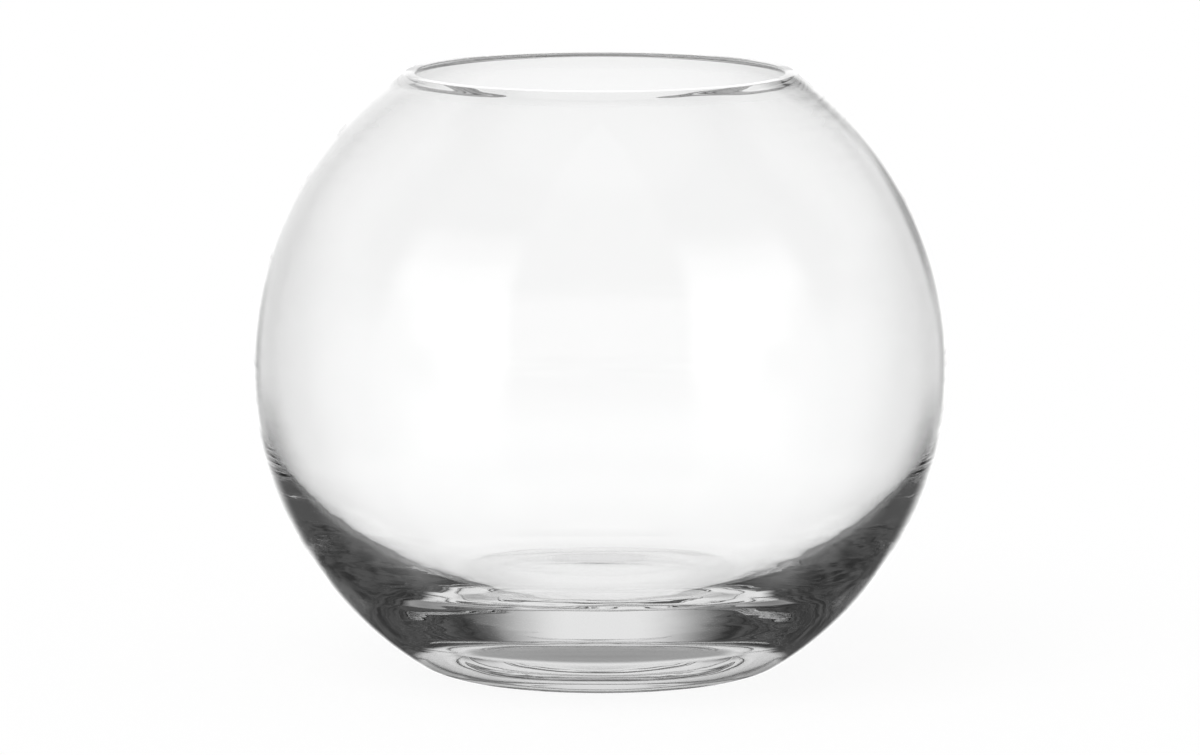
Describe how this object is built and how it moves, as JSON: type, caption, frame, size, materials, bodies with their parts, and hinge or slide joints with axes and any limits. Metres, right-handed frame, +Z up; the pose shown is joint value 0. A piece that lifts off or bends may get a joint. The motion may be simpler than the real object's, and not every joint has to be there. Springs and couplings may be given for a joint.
{
  "type": "globe vase",
  "caption": "Clear glass globe vase: a round blown bowl with a wide cut mouth, a thin wall and a heavy base that stands on a ring, for water and cut flowers.",
  "frame": {"origin": "on the table under the middle of the foot", "axes": "+Z up along the axis of revolution, from the foot to the mouth; X and Y level, with no marked front"},
  "size_m": [0.18, 0.18, 0.156],
  "materials": {
    "clear_glass": "clear, fire polished"
  },
  "bodies": {
    "root": {"glass_bowl": "clear_glass"}
  },
  "joints": []
}
